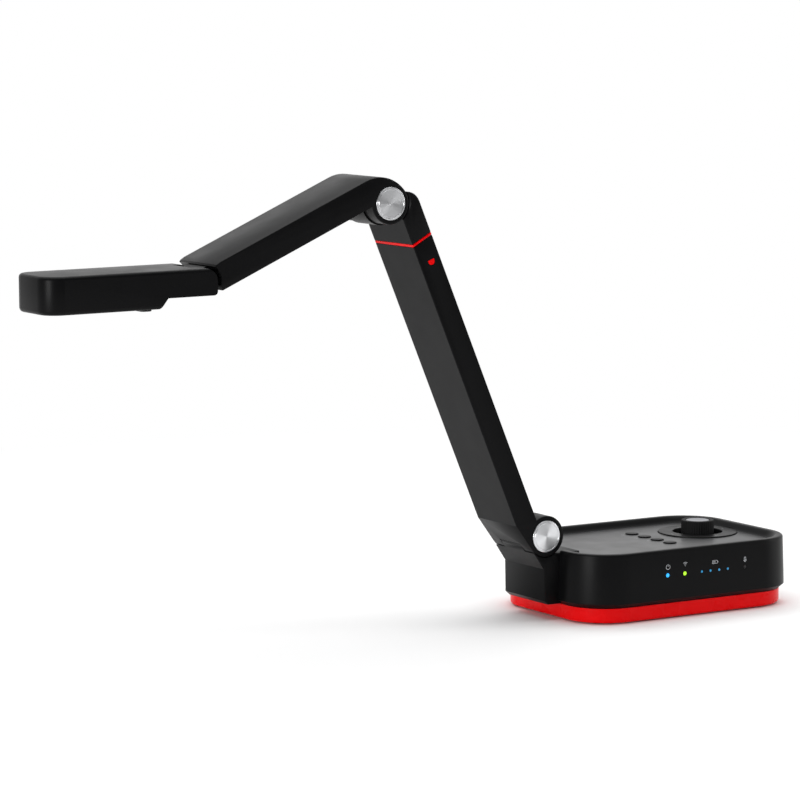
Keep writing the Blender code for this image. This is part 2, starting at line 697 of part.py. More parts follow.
def make_pedestal():
    """Block at the end of the base that carries the base hinge."""
    center = (HINGE_X, HINGE_Z)
    right = PEDESTAL_LEFT + PEDESTAL_DEPTH
    tangent = arc(center, BARREL_RADIUS, lean_angle(), lean_angle(), 1)[0]
    seam_top = SEAM_HEIGHT + SEAM_SLOPE
    foot = -BASE_LENGTH / 2 - PEDESTAL_FOOT
    inside = -BASE_LENGTH / 2 + BALLAST_INSET + GAP
    outline = [(right, BALLAST_TOP + GAP), (right, PEDESTAL_TOP), (HINGE_X, PEDESTAL_TOP)]
    outline += [tangent, (PEDESTAL_LEFT, PEDESTAL_BEND), (foot, seam_top)]
    outline += [(foot + SEAM_INSET, SEAM_HEIGHT + GAP), (inside, SEAM_HEIGHT + GAP)]
    outline += [(inside, BALLAST_TOP + GAP)]
    body = prism(outline, -HALF_ARM, HALF_ARM)
    round_sides(body, HALF_ARM, ARM_EDGE)
    saddles = []
    for side in (-1, 1):
        low, high = sorted((side * HALF_KNUCKLE, side * (HALF_ARM + PAST)))
        saddles.append(prism(disc(center, BARREL_RADIUS + SWING_GAP), low, high))
    knuckle = prism(disc(center, BARREL_RADIUS), -HALF_KNUCKLE, HALF_KNUCKLE)
    holes = knuckle_openings(center)
    make("hinge_pedestal", body, BLACK_PLASTIC, cuts=saddles, joins=[knuckle], holes=holes)
    make("base_hinge_shaft", hinge_shaft(center, SHAFT_RADIUS, shaft_reach()), STEEL)
    make_washer("base_hinge_washer", center)


# --- lower arm ---------------------------------------------------------------------------------------

def lower_outline():
    """Side view of the lower arm's main shell, up to the red band."""
    corner = (-LOWER_OUTER, LOWER_START)
    distance = math.hypot(*corner)
    toward = math.degrees(math.atan2(corner[1], corner[0]))
    tangent = toward + math.degrees(math.acos(BARREL_RADIUS / distance))
    entry = math.degrees(math.acos(LOWER_INNER_X / BARREL_RADIUS))
    top = LOWER_REACH - BAND_DROP
    outline = [corner, (-LOWER_OUTER, top), (LOWER_INNER_X, top + BAND_SLANT)]
    outline += arc((0, 0), BARREL_RADIUS, entry, tangent - 360, 30)
    return outline


def slanted(bottom, height, inset):
    """A block across the arm that climbs from the outer to the inner face, as the red band does."""
    left = -LOWER_OUTER + inset
    right = LOWER_INNER_X - inset
    slope = BAND_SLANT / LOWER_DEPTH
    left_rise = bottom + slope * inset
    right_rise = bottom + BAND_SLANT - slope * inset
    return [(left, left_rise), (right, right_rise), (right, right_rise + height), (left, left_rise + height)]


def make_lower_arm(pivot):
    """Main shell with the two ears of the base hinge, its inner cover and its spine."""
    body = prism(lower_outline(), -HALF_ARM, HALF_ARM)
    round_sides(body, HALF_ARM, ARM_EDGE)
    top = LOWER_REACH - BAND_DROP
    start = BARREL_RADIUS + SWING_GAP + 2 * ARM_WALL
    half_mouth = HALF_ARM - COVER_MARGIN
    mouth_depth = COVER_THICKNESS + GAP
    half_hollow = half_mouth - COVER_LEDGE
    low = (-LOWER_OUTER + ARM_WALL, -half_hollow, start + COVER_LEDGE)
    hollow = box(low, (0, half_hollow, LOWER_REACH))
    mouth = box((LOWER_INNER_X - mouth_depth, -half_mouth, start), (PAST, half_mouth, LOWER_REACH))
    saddle = prism(disc((0, 0), BARREL_RADIUS + SWING_GAP, 64), -EAR_INNER, EAR_INNER)
    marker = prism(marker_outline(GAP), -HALF_ARM - PAST, -HALF_ARM + MARKER_DEPTH + GAP)
    tools = [saddle, hollow, mouth, marker] + ear_tools((0, 0))
    make("lower_arm_shell", body, BLACK_PLASTIC, cuts=tools, pivot=pivot)
    slope = BAND_SLANT / LOWER_DEPTH
    low = (LOWER_INNER_X - COVER_THICKNESS, -half_mouth + GAP, start + GAP)
    cover_top = top + BAND_SLANT - slope * COVER_THICKNESS
    cover = box(low, (LOWER_INNER_X, half_mouth - GAP, cover_top))
    make("lower_arm_cover", cover, BLACK_PLASTIC, pivot=pivot)
    back = -LOWER_OUTER + ARM_WALL + GAP
    low = (back, -SPINE_WIDTH / 2, start + COVER_LEDGE + GAP)
    spine = box(low, (back + SPINE_THICKNESS, SPINE_WIDTH / 2, spine_top()))
    make("lower_arm_spine", spine, ALUMINIUM, pivot=pivot)


def spine_top():
    """The spine reaches up into the elbow piece."""
    return LOWER_REACH - BAND_DROP + SPINE_RISE


def marker_outline(clearance):
    """Half-round mark on the side, flat side up."""
    center = (LOWER_INNER_X - MARKER_INSET - MARKER_RADIUS, LOWER_REACH - BAND_DROP - MARKER_DROP)
    reach = MARKER_RADIUS + clearance
    top = center[1] + MARKER_RADIUS / 2 + clearance
    return arc(center, reach, 180, 360, 12) + [(center[0] + reach, top), (center[0] - reach, top)]


def make_band(pivot):
    """Red collar between the shell and the elbow piece, and the red mark below it."""
    bottom = LOWER_REACH - BAND_DROP + GAP
    band = prism(slanted(bottom, BAND_HEIGHT, 0), -HALF_ARM, HALF_ARM)
    round_sides(band, HALF_ARM, ARM_EDGE)
    inside = slanted(bottom - PAST, BAND_HEIGHT + 2 * PAST, ARM_WALL)
    hole = prism(inside, -HALF_ARM + ARM_WALL, HALF_ARM - ARM_WALL)
    make("red_band", band, RED_PLASTIC, cuts=[hole], pivot=pivot)
    mark = prism(marker_outline(0), -HALF_ARM, -HALF_ARM + MARKER_DEPTH)
    make("red_marker", mark, RED_PLASTIC, pivot=pivot)


def make_elbow_piece(pivot):
    """Top of the lower arm: horns round the elbow at the sides, and its knuckle in the middle."""
    center = (ELBOW_X, LOWER_REACH)
    low = slanted(LOWER_REACH - BAND_DROP + BAND_HEIGHT + 2 * GAP, 0.001, 0)
    horn = (LOWER_INNER_X - HORN_RADIUS, LOWER_REACH - HORN_DROP)
    outline = [low[0], low[1]] + arc(horn, HORN_RADIUS, 0, 90, 8)
    outline.append((-LOWER_OUTER, LOWER_REACH - HORN_DROP + HORN_RADIUS))
    body = prism(outline, -HALF_ARM, HALF_ARM)
    round_sides(body, HALF_ARM, ARM_EDGE)
    back = -LOWER_OUTER + ARM_WALL
    half = SPINE_WIDTH / 2 + GAP
    pocket = box((back, -half, 0), (back + SPINE_THICKNESS + 2 * GAP, half, spine_top() + GAP))
    tools = [pocket] + [elbow_saddle(center, side) for side in (-1, 1)]
    knuckle = prism(disc(center, ELBOW_KNUCKLE), -HALF_KNUCKLE, HALF_KNUCKLE)
    holes = knuckle_openings(center)
    make("elbow_piece", body, BLACK_PLASTIC, cuts=tools, joins=[knuckle], holes=holes, pivot=pivot)
    make("elbow_shaft", hinge_shaft(center, SHAFT_RADIUS, shaft_reach()), STEEL, pivot=pivot)
    make_washer("elbow_washer", center, pivot)


def elbow_saddle(center, side):
    """Round hollow with a chamfered lip, which one ear of the upper arm turns in."""
    radius = ELBOW_RADIUS + SWING_GAP
    outside = HALF_ARM + 0.001
    profile = [(0, HALF_KNUCKLE), (radius, HALF_KNUCKLE), (radius, HALF_ARM - ELBOW_LIP)]
    profile += [(radius + ELBOW_LIP + 0.001, outside), (0, outside)]
    mesh = turned(profile)
    for vert in mesh.verts:
        vert.co = (center[0] + vert.co.x, side * vert.co.z, center[1] + vert.co.y)
    return face_out(mesh)


# --- upper arm ---------------------------------------------------------------------------------------

def upper_outline():
    """Side view of the upper arm: elbow barrel, swept back, straight body, eased far end."""
    center_x = UPPER_TOP_X - ELBOW_SWEEP
    center_z = math.sqrt((ELBOW_SWEEP - ELBOW_RADIUS) ** 2 - center_x ** 2)
    touch = math.degrees(math.atan2(-center_z, -center_x))
    entry = math.degrees(math.acos(UPPER_BOTTOM / ELBOW_RADIUS))
    end = UPPER_REACH - math.sqrt((ear_reach() + SWING_GAP) ** 2 - HEAD_AXIS_DROP ** 2)
    outline = arc((0, 0), ELBOW_RADIUS, entry, touch + 360, 24)
    outline += arc((center_x, center_z), ELBOW_SWEEP, touch, 0, 12)[1:]
    outline.append((UPPER_TOP_X, end - UPPER_END_RUN))
    outline.append((UPPER_TOP_X - UPPER_END_RISE * 0.3, end - UPPER_END_RUN * 0.4))
    outline += [(UPPER_TOP_X - UPPER_END_RISE, end), (UPPER_BOTTOM, end)]
    return outline


def swept_space():
    """Side view of what is cut from the middle below the elbow axis, for the lower arm's knuckle."""
    far = 2 * UPPER_TOP_X
    return [(-far, -ELBOW_HOOD_END), (-far, -far), (far, -far), (far, -ELBOW_HOOD_END)]


def ear_reach():
    """How far the lower corner of a head ear is from the head hinge."""
    return math.sqrt(2) * (HEAD_RADIUS - HEAD_EAR_CORNER) + HEAD_EAR_CORNER


def tongue_outline(center):
    """Side view of the tongue from the upper arm's end to the knuckle of the head hinge."""
    half = HEAD_TONGUE / 2
    entry = math.degrees(math.asin(half / HEAD_KNUCKLE))
    root = center[1] - ear_reach() - TONGUE_ROOT
    outline = arc(center, HEAD_KNUCKLE, entry - 90, 270 - entry, 24)
    return outline + [(center[0] - half, root), (center[0] + half, root)]


def make_upper_arm(pivot):
    """Shell with two ears at the elbow and a knuckle at the head, and its cover underneath."""
    head_center = (HEAD_AXIS_X, UPPER_REACH)
    body = prism(upper_outline(), -HALF_ARM, HALF_ARM)
    round_sides(body, HALF_ARM, ARM_EDGE)
    cuts = [prism(disc((0, 0), ELBOW_KNUCKLE + SWING_GAP, 64), -EAR_INNER, EAR_INNER)]
    cuts.append(prism(swept_space(), -EAR_INNER, EAR_INNER))
    cuts.append(prism(disc(head_center, ear_reach() + SWING_GAP), -HALF_ARM - PAST, HALF_ARM + PAST))
    tongue = prism(tongue_outline(head_center), -HALF_KNUCKLE, HALF_KNUCKLE)
    start = ELBOW_KNUCKLE + SWING_GAP + 2 * ARM_WALL
    stop = UPPER_REACH - ear_reach() - SWING_GAP - 2 * ARM_WALL
    half_mouth = HALF_ARM - COVER_MARGIN
    depth = COVER_THICKNESS + GAP
    holes = [box((0, -half_mouth, start), (UPPER_BOTTOM + depth, half_mouth, stop))]
    half_hollow = half_mouth - COVER_LEDGE
    high = (UPPER_TOP_X - ARM_WALL, half_hollow, stop - COVER_LEDGE)
    holes.append(box((0, -half_hollow, start + COVER_LEDGE), high))
    holes += ear_tools((0, 0))
    holes.append(hinge_shaft(head_center, HEAD_SHAFT_RADIUS + GAP, HALF_ARM))
    make("upper_arm_shell", body, BLACK_PLASTIC, cuts=cuts, joins=[tongue], holes=holes, pivot=pivot)
    low = (UPPER_BOTTOM, -half_mouth + GAP, start + GAP)
    cover = box(low, (UPPER_BOTTOM + COVER_THICKNESS, half_mouth - GAP, stop - GAP))
    make("upper_arm_cover", cover, BLACK_PLASTIC, pivot=pivot)
    reach = EAR_INNER + HEAD_SHAFT_BITE - GAP
    make("head_hinge_shaft", hinge_shaft(head_center, HEAD_SHAFT_RADIUS, reach), STEEL, pivot=pivot)


# --- head --------------------------------------------------------------------------------------------

def head_outline():
    """Side view of the head: round ears, thin neck, step down to the thick front."""
    corner = HEAD_RADIUS - HEAD_EAR_CORNER
    outline = arc((-corner, -corner), HEAD_EAR_CORNER, 180, 270, 4)
    outline += arc((0, 0), HEAD_RADIUS, 270, 360, 10)
    outline += [(HEAD_RADIUS, 2 * HEAD_LENGTH), (HEAD_FLOOR_X, 2 * HEAD_LENGTH)]
    outline += [(HEAD_FLOOR_X, HEAD_NECK + HEAD_STEP_RUN), (-HEAD_RADIUS, HEAD_NECK)]
    return outline


def head_plan(inset):
    """Plan of the head in (Y, Z), moved in: square past the hinge end, round corners at the tip."""
    corner = HEAD_CORNER - inset
    half = HALF_ARM - inset
    tip = HEAD_LENGTH - inset
    points = [(-half, -2 * HEAD_RADIUS), (half, -2 * HEAD_RADIUS)]
    points += arc((half - corner, tip - corner), corner, 0, 90, 6)
    points += arc((-half + corner, tip - corner), corner, 90, 180, 6)
    return points


def head_block():
    """Block that the head is shaped from, with its edges rounded above and below."""
    low = (HEAD_FLOOR_EDGE, HEAD_FLOOR_X + HEAD_FLOOR_EDGE)
    high = (HEAD_TOP_EDGE, HEAD_RADIUS - HEAD_TOP_EDGE)
    profile = arc(low, HEAD_FLOOR_EDGE, 270, 180, 4) + arc(high, HEAD_TOP_EDGE, 180, 90, 4)
    return lay(loft([(head_plan(inset), height) for inset, height in profile]))


def head_floor(clearance):
    """Outline of the cover under the head, in (Y, Z), or of its recess."""
    inset = HEAD_FLOOR_EDGE + clearance
    start = HEAD_NECK + HEAD_STEP_RUN + HEAD_WALL + clearance
    length = HEAD_LENGTH - inset - HEAD_WALL - start
    width = ARM_WIDTH - 2 * inset
    corner = HEAD_CORNER - inset / 2
    return rounded_plan(width, length, corner, 5, (0, start + length / 2))


def lay(mesh):
    """Turn a piece drawn in (Y, Z, X) so that its height becomes X."""
    for vert in mesh.verts:
        vert.co = (vert.co.z, vert.co.x, vert.co.y)
    return face_out(mesh)


def make_head(pivot):
    """Shell of the head with the two ears of its hinge."""
    body = prism(head_outline(), -HALF_ARM, HALF_ARM)
    cuts = [prism(disc((0, 0), HEAD_KNUCKLE + SWING_GAP, 64), -EAR_INNER, EAR_INNER)]
    far = 2 * HEAD_RADIUS
    behind = [(far, HEAD_SADDLE_END), (far, -far), (-far, -far), (-far, HEAD_SADDLE_END)]
    cuts.append(prism(behind, -EAR_INNER, EAR_INNER))
    recess = HEAD_FLOOR_X + COVER_THICKNESS + GAP
    cuts.append(lay(slab(head_floor(0), HEAD_FLOOR_X - PAST, recess)))
    cuts.append(lay(slab(head_floor(COVER_LEDGE), HEAD_FLOOR_X, HEAD_RADIUS - HEAD_WALL)))
    cuts.append(hinge_shaft((0, 0), HEAD_SHAFT_RADIUS + GAP, EAR_INNER + HEAD_SHAFT_BITE))
    make("head_shell", body, BLACK_PLASTIC, within=head_block(), cuts=cuts, pivot=pivot)
    make_head_floor(pivot)


def make_head_floor(pivot):
    """Cover under the head with the lens, the lamp and the rest pad, and the camera board."""
    lens = (0, HEAD_LENGTH - LENS_FROM_TIP)
    lamp = (0, HEAD_LENGTH - LAMP_FROM_TIP)
    cover = lay(slab(head_floor(GAP), HEAD_FLOOR_X, HEAD_FLOOR_X + COVER_THICKNESS))
    top = HEAD_FLOOR_X + COVER_THICKNESS + PAST
    tools = [lay(post(lens, LENS_RADIUS + GAP, HEAD_FLOOR_X - PAST, top))]
    tools.append(lay(post(lamp, LAMP_RADIUS + GAP, HEAD_FLOOR_X - PAST, top, 24)))
    make("head_cover", cover, BLACK_PLASTIC, cuts=tools, pivot=pivot)
    glass_face = HEAD_FLOOR_X + 0.0018
    barrel = [(0, glass_face + 0.004), (LENS_GLASS_RADIUS + GAP, glass_face + 0.004)]
    barrel += [(LENS_GLASS_RADIUS + GAP, HEAD_FLOOR_X + 0.001)]
    barrel += [(LENS_RADIUS - 0.0010, HEAD_FLOOR_X - 0.0002), (LENS_RADIUS, HEAD_FLOOR_X)]
    barrel += [(LENS_RADIUS, HEAD_FLOOR_X + LENS_HEIGHT), (0, HEAD_FLOOR_X + LENS_HEIGHT)]
    make("lens_barrel", lay(turned(barrel, lens)), BLACK_PLASTIC, pivot=pivot)
    glass = [(0, glass_face + 0.0035), (LENS_GLASS_RADIUS, glass_face + 0.0035)]
    glass += [(LENS_GLASS_RADIUS, glass_face)]
    for share in (0.75, 0.5, 0.25, 0):
        glass.append((LENS_GLASS_RADIUS * share, glass_face - LENS_DOME * (1 - share ** 2)))
    make("lens_glass", lay(turned(glass, lens, 32)), LENS_COATING, pivot=pivot)
    window = post(lamp, LAMP_RADIUS, HEAD_FLOOR_X, HEAD_FLOOR_X + 0.003, 24)
    make("lamp_window", lay(window), LAMP_DIFFUSER, pivot=pivot)
    board_x = HEAD_FLOOR_X + LENS_HEIGHT + GAP
    start = HEAD_NECK + HEAD_STEP_RUN + HEAD_WALL * 2 + COVER_LEDGE
    stop = HEAD_LENGTH - CAMERA_BOARD_END
    middle = (0, (start + stop) / 2)
    width = ARM_WIDTH - 2 * CAMERA_BOARD_SIDE
    outline = rounded_plan(width, stop - start, CAMERA_BOARD_CORNER, 3, middle)
    make("camera_board", lay(slab(outline, board_x, board_x + BOARD_THICKNESS)), BOARD, pivot=pivot)
    start = HEAD_NECK + HEAD_STEP_RUN + HEAD_WALL * 2 + PAD_FROM_STEP
    outline = rounded_plan(ARM_WIDTH - 2 * PAD_SIDE, PAD_LENGTH, 0.003, 4, (0, start + PAD_LENGTH / 2))
    pad = lay(slab(outline, HEAD_FLOOR_X - PAD_RISE, HEAD_FLOOR_X - GAP))
    make("rest_pad", pad, RUBBER, pivot=pivot)


for leftover in list(bpy.data.objects):
    bpy.data.objects.remove(leftover)

BLACK_PLASTIC = make_material("satin_black_plastic", (0.018, 0.018, 0.019), 0.42)
BLACK_RUBBERED = make_material("soft_touch_black", (0.010, 0.010, 0.010), 0.6)
PANEL_FILM = make_material("panel_film", (0.030, 0.030, 0.032), 0.35)
RED_PLASTIC = make_material("red_plastic", (0.75, 0.012, 0.015), 0.3)
RUBBER = make_material("black_rubber", (0.012, 0.012, 0.012), 0.8)
STEEL = make_material("plated_steel", (0.56, 0.56, 0.57), 0.35, 1.0)
ALUMINIUM = make_material("turned_aluminium", (0.75, 0.76, 0.77), 0.25, 1.0)
GREY_METAL = make_material("grey_metal_finish", (0.35, 0.35, 0.36), 0.35, 1.0)
BOARD = make_material("circuit_board", (0.02, 0.12, 0.05), 0.5)
BATTERY_WRAP = make_material("battery_wrap", (0.08, 0.10, 0.14), 0.4)
BLUE_LIGHT = make_material("blue_light_pipe", (0.05, 0.45, 0.9), 0.3)
GREEN_LIGHT = make_material("green_light_pipe", (0.35, 0.85, 0.08), 0.3)
LENS_COATING = make_material("coated_lens_glass", (0.03, 0.02, 0.05), 0.05)
LAMP_DIFFUSER = make_material("lamp_diffuser", (0.85, 0.85, 0.80), 0.4)

make_housing()
make_panel()
make_lower_shell()
make_base_inside()
make_underside()
make_indicators()
make_ports()
make_controls()
make_pedestal()

LOWER_PIVOT = make_pivot("base_hinge_pivot", (HINGE_X, 0, HINGE_Z), LOWER_LEAN)
UPPER_PIVOT = make_pivot("elbow_pivot", (ELBOW_X, 0, LOWER_REACH), UPPER_LEAN - LOWER_LEAN, LOWER_PIVOT)
HEAD_PIVOT = make_pivot("head_pivot", (HEAD_AXIS_X, 0, UPPER_REACH), HEAD_LEAN - UPPER_LEAN, UPPER_PIVOT)

make_lower_arm(LOWER_PIVOT)
make_band(LOWER_PIVOT)
make_elbow_piece(LOWER_PIVOT)
make_caps("base_hinge", (0, 0), LOWER_PIVOT)
make_upper_arm(UPPER_PIVOT)
make_caps("elbow", (0, 0), UPPER_PIVOT)
make_head(HEAD_PIVOT)
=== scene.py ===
"""Portable document camera: weighted base with its controls, folding two-piece arm and camera head."""
import math

import bmesh
import bpy
from mathutils import Matrix, Vector


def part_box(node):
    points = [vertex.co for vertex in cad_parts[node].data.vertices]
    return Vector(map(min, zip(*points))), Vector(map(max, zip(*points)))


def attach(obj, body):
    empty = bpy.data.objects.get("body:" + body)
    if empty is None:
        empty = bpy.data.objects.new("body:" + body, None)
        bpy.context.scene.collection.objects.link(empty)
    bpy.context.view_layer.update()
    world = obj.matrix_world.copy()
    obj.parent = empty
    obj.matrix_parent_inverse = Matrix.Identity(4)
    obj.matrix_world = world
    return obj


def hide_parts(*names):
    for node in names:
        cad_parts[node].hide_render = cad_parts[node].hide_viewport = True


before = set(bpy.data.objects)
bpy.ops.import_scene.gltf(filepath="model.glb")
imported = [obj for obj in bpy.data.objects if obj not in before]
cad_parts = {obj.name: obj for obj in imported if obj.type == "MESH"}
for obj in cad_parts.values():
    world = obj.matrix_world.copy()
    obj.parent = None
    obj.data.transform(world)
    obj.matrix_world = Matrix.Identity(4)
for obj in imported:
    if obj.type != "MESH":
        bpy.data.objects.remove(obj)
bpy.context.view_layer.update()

# --- The studio ---------------------------------------------------------------------------------------
# A white sweep that fades into a glowing rim, in a room that is brightest behind the object. One broad soft
# box hangs overhead, a narrow one stands to the right and a small one near the end of the arm at the left.


def linear(colour):
    """An sRGB hex colour as linear red, green, blue and alpha."""
    values = [int(colour[place:place + 2], 16) / 255 for place in (1, 3, 5)]
    return [v / 12.92 if v <= 0.04045 else ((v + 0.055) / 1.055) ** 2.4 for v in values] + [1.0]


def add_node(tree, kind, settings=(), links=()):
    """Add a shader node, with its settings or socket values and (socket, source output) links."""
    made = tree.nodes.new(kind)
    for name, value in dict(settings).items():
        if name in made.inputs:
            made.inputs[name].default_value = value
        else:
            setattr(made, name, value)
    for socket, source in dict(links).items():
        tree.links.new(source, made.inputs[socket])
    return made


lens_axis = Vector((-0.5275, -0.8408, 0.1219))
aim = Vector((-0.1840, 0.0806, 0.1693))
camera = bpy.data.objects.new("camera", bpy.data.cameras.new("camera"))
camera.data.lens = 157.5
camera.data.sensor_width = 36
camera.data.clip_end = 50
camera.location = aim + lens_axis.normalized() * 2.7934
camera.rotation_euler = lens_axis.to_track_quat("Z", "Y").to_euler()
bpy.context.collection.objects.link(camera)
bpy.context.scene.camera = camera
bpy.context.scene.view_settings.view_transform = "Standard"

sweep_mesh = bmesh.new()
bmesh.ops.create_circle(sweep_mesh, cap_ends=True, segments=96, radius=2.6)
sweep_data = bpy.data.meshes.new("floor")
sweep_mesh.to_mesh(sweep_data)
sweep_mesh.free()
floor = bpy.data.objects.new("floor", sweep_data)
bpy.context.collection.objects.link(floor)
paper = bpy.data.materials.new("matt_white_paper")
paper.use_nodes = True
paper.node_tree.nodes["Principled BSDF"].inputs["Base Color"].default_value = linear("#f4f4f4")
paper.node_tree.nodes["Principled BSDF"].inputs["Roughness"].default_value = 0.9
paper.node_tree.nodes["Principled BSDF"].inputs["Specular IOR Level"].default_value = 0.1
spot = add_node(paper.node_tree, "ShaderNodeTexCoord").outputs["Object"]
radius = add_node(paper.node_tree, "ShaderNodeVectorMath", {"operation": "LENGTH"}, {0: spot})
fade = add_node(paper.node_tree, "ShaderNodeMapRange", {"From Min": 0.45, "From Max": 1.1},
                {"Value": radius.outputs["Value"]})
glow = add_node(paper.node_tree, "ShaderNodeEmission", {"Color": linear("#ffffff"), "Strength": 1.0})
lit = add_node(paper.node_tree, "ShaderNodeMixShader", links={
    0: fade.outputs["Result"], 1: paper.node_tree.nodes["Principled BSDF"].outputs[0], 2: glow.outputs[0]})
paper.node_tree.links.new(lit.outputs[0], paper.node_tree.nodes["Material Output"].inputs["Surface"])
floor.data.materials.append(paper)

world = bpy.data.worlds.new("studio")
world.use_nodes = True
bpy.context.scene.world = world
room = world.node_tree
room.nodes.clear()
seen = add_node(room, "ShaderNodeLightPath")
toward = add_node(room, "ShaderNodeTexCoord")
behind = add_node(room, "ShaderNodeVectorMath", {"operation": "DOT_PRODUCT"},
                  {0: toward.outputs["Generated"]})
behind.inputs[1].default_value = (0.50, 0.84, 0.20)
level = add_node(room, "ShaderNodeMapRange",
                 {"From Min": -0.2, "From Max": 0.95, "To Min": 0.20, "To Max": 1.05},
                 {"Value": behind.outputs["Value"]})
dim = add_node(room, "ShaderNodeBackground", {"Color": linear("#ffffff")},
               {"Strength": level.outputs["Result"]})
white = add_node(room, "ShaderNodeBackground", {"Color": linear("#ffffff"), "Strength": 1.0})
both = add_node(room, "ShaderNodeMixShader", links={0: seen.outputs["Is Camera Ray"],
                                                    1: dim.outputs[0], 2: white.outputs[0]})
add_node(room, "ShaderNodeOutputWorld", links={"Surface": both.outputs[0]})


def soft_box(name, place, size, power):
    """A rectangular soft box that faces the middle of the object."""
    light = bpy.data.lights.new(name, "AREA")
    light.shape = "RECTANGLE"
    light.size, light.size_y = size
    light.energy = power
    lamp = bpy.data.objects.new(name, light)
    lamp.location = place
    lamp.rotation_euler = (Vector(place) - Vector((-0.15, 0, 0.15))).to_track_quat("Z", "Y").to_euler()
    lamp.visible_camera = False
    bpy.context.collection.objects.link(lamp)


soft_box("soft_box_overhead", (-0.2, 0.3, 3.2), (4.0, 4.0), 105)
soft_box("soft_box_right", (2.3, -1.1, 0.8), (0.4, 1.5), 14)
soft_box("soft_box_left", (-2.8, -1.0, 0.4), (1.0, 0.8), 34)

# --- Red lower shell ----------------------------------------------------------------------------------
# The bottom half of the base's case: gloss red ABS, injection moulded and screwed up from below. Its sides
# stand a little behind the black housing, and its lower edge is rounded over.


def coloured_abs(name, colour, roughness, grain_mm, depth_mm, shine=0.18):
    """Moulded ABS: even colour, and the fine pitted grain that the mould's spark-eroded steel leaves."""
    material = bpy.data.materials.new(name)
    material.use_nodes = True
    tree = material.node_tree
    shader = tree.nodes["Principled BSDF"]
    shader.inputs["IOR"].default_value = 1.52
    shader.inputs["Specular IOR Level"].default_value = shine
    place = add_node(tree, "ShaderNodeTexCoord").outputs["Object"]
    cloud = add_node(tree, "ShaderNodeTexNoise", {"Scale": 1 / 0.018, "Detail": 3.0}, {"Vector": place})
    sheen = add_node(tree, "ShaderNodeMapRange", {"From Min": 0.3, "From Max": 0.7,
                                                  "To Min": roughness - 0.03, "To Max": roughness + 0.03},
                     {"Value": cloud.outputs["Fac"]})
    tree.links.new(sheen.outputs["Result"], shader.inputs["Roughness"])
    darker = [value * 0.86 for value in linear(colour)[:3]] + [1.0]
    tone = add_node(tree, "ShaderNodeMix", {"data_type": "RGBA"}, {"Factor": cloud.outputs["Fac"]})
    tone.inputs[6].default_value = darker
    tone.inputs[7].default_value = linear(colour)
    tree.links.new(tone.outputs[2], shader.inputs["Base Color"])
    grain = add_node(tree, "ShaderNodeTexNoise", {"Scale": 1000 / grain_mm, "Detail": 2.0},
                     {"Vector": place})
    bump = add_node(tree, "ShaderNodeBump", {"Strength": 0.35, "Distance": depth_mm / 1000},
                    {"Height": grain.outputs["Fac"]})
    tree.links.new(bump.outputs["Normal"], shader.inputs["Normal"])
    return material


def finish_piece(name, mesh, material, body, slot, *nodes, sharp=32):
    """Turn a finished mesh into a piece that rides on a body and stands for CAD nodes."""
    data = bpy.data.meshes.new(name)
    mesh.to_mesh(data)
    mesh.free()
    data.materials.clear()
    data.materials.append(material)
    data.shade_smooth()
    data.set_sharp_from_angle(angle=math.radians(sharp))
    piece = bpy.data.objects.new(name, data)
    bpy.context.collection.objects.link(piece)
    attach(piece, body)
    if nodes:
        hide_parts(*nodes)
    return piece


def rounded_block(low, high, corner, segments=24):
    """A block with its four upright edges rounded, from its lowest and highest corners."""
    mesh = bmesh.new()
    middle = (Vector(low) + Vector(high)) / 2
    size = Vector(high) - Vector(low)
    bmesh.ops.create_cube(mesh, size=1, matrix=Matrix.Translation(middle) @ Matrix.Diagonal((*size, 1)))
    upright = [edge for edge in mesh.edges if abs(edge.verts[0].co.z - edge.verts[1].co.z) > 1e-6]
    bmesh.ops.bevel(mesh, geom=upright, offset=corner, segments=segments, profile=0.5, affect="EDGES",
                    material=-1)
    return mesh


def step_in(mesh, upward, steps):
    """Carry the top or bottom face on through (run inwards, rise outwards) steps."""
    side = 1 if upward else -1
    face = max(mesh.faces, key=lambda item: side * item.calc_center_median().z * 1000 + abs(item.normal.z))
    for run, rise in steps:
        bmesh.ops.inset_region(mesh, faces=[face], thickness=run, depth=rise, use_even_offset=True)
    return face


def quarter_round(radius, count, inward=True):
    """Steps of a rounded edge: (run, rise) that turn from upright to level."""
    angles = [math.pi / 2 * step / count for step in range(count + 1)]
    return [(radius * (math.cos(a) - math.cos(b)), radius * (math.sin(b) - math.sin(a)))
            for a, b in zip(angles, angles[1:])]


gloss_red = coloured_abs("gloss_red_abs", "#f0050a", 0.28, 0.5, 0.002, 0.08)
low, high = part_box("red_lower_shell")
edge_round = 0.0025
shell = rounded_block((low.x, low.y, low.z + edge_round), high, 0.035)
step_in(shell, False, quarter_round(edge_round, 6))
finish_piece("red_shell", shell, gloss_red, "base", "red_plastic", "red_lower_shell")

# --- Underside ----------------------------------------------------------------------------------------
# Four moulded rubber feet pressed into pockets, a black plate between them and four case screws: plated
# steel, self-tapping, driven up through the red shell and the steel ballast.
natural_rubber = bpy.data.materials.new("moulded_black_rubber")


def moulded_rubber(material, colour):
    """Moulded rubber: matt, slightly dusty, with a pebbled skin."""
    material.use_nodes = True
    tree = material.node_tree
    shader = tree.nodes["Principled BSDF"]
    shader.inputs["Base Color"].default_value = linear(colour)
    shader.inputs["Roughness"].default_value = 0.78
    shader.inputs["Sheen Weight"].default_value = 0.15
    place = add_node(tree, "ShaderNodeTexCoord").outputs["Object"]
    pebble = add_node(tree, "ShaderNodeTexVoronoi", {"Scale": 1 / 0.0006}, {"Vector": place})
    bump = add_node(tree, "ShaderNodeBump", {"Strength": 0.3, "Distance": 0.00004},
                    {"Height": pebble.outputs["Distance"]})
    tree.links.new(bump.outputs["Normal"], shader.inputs["Normal"])


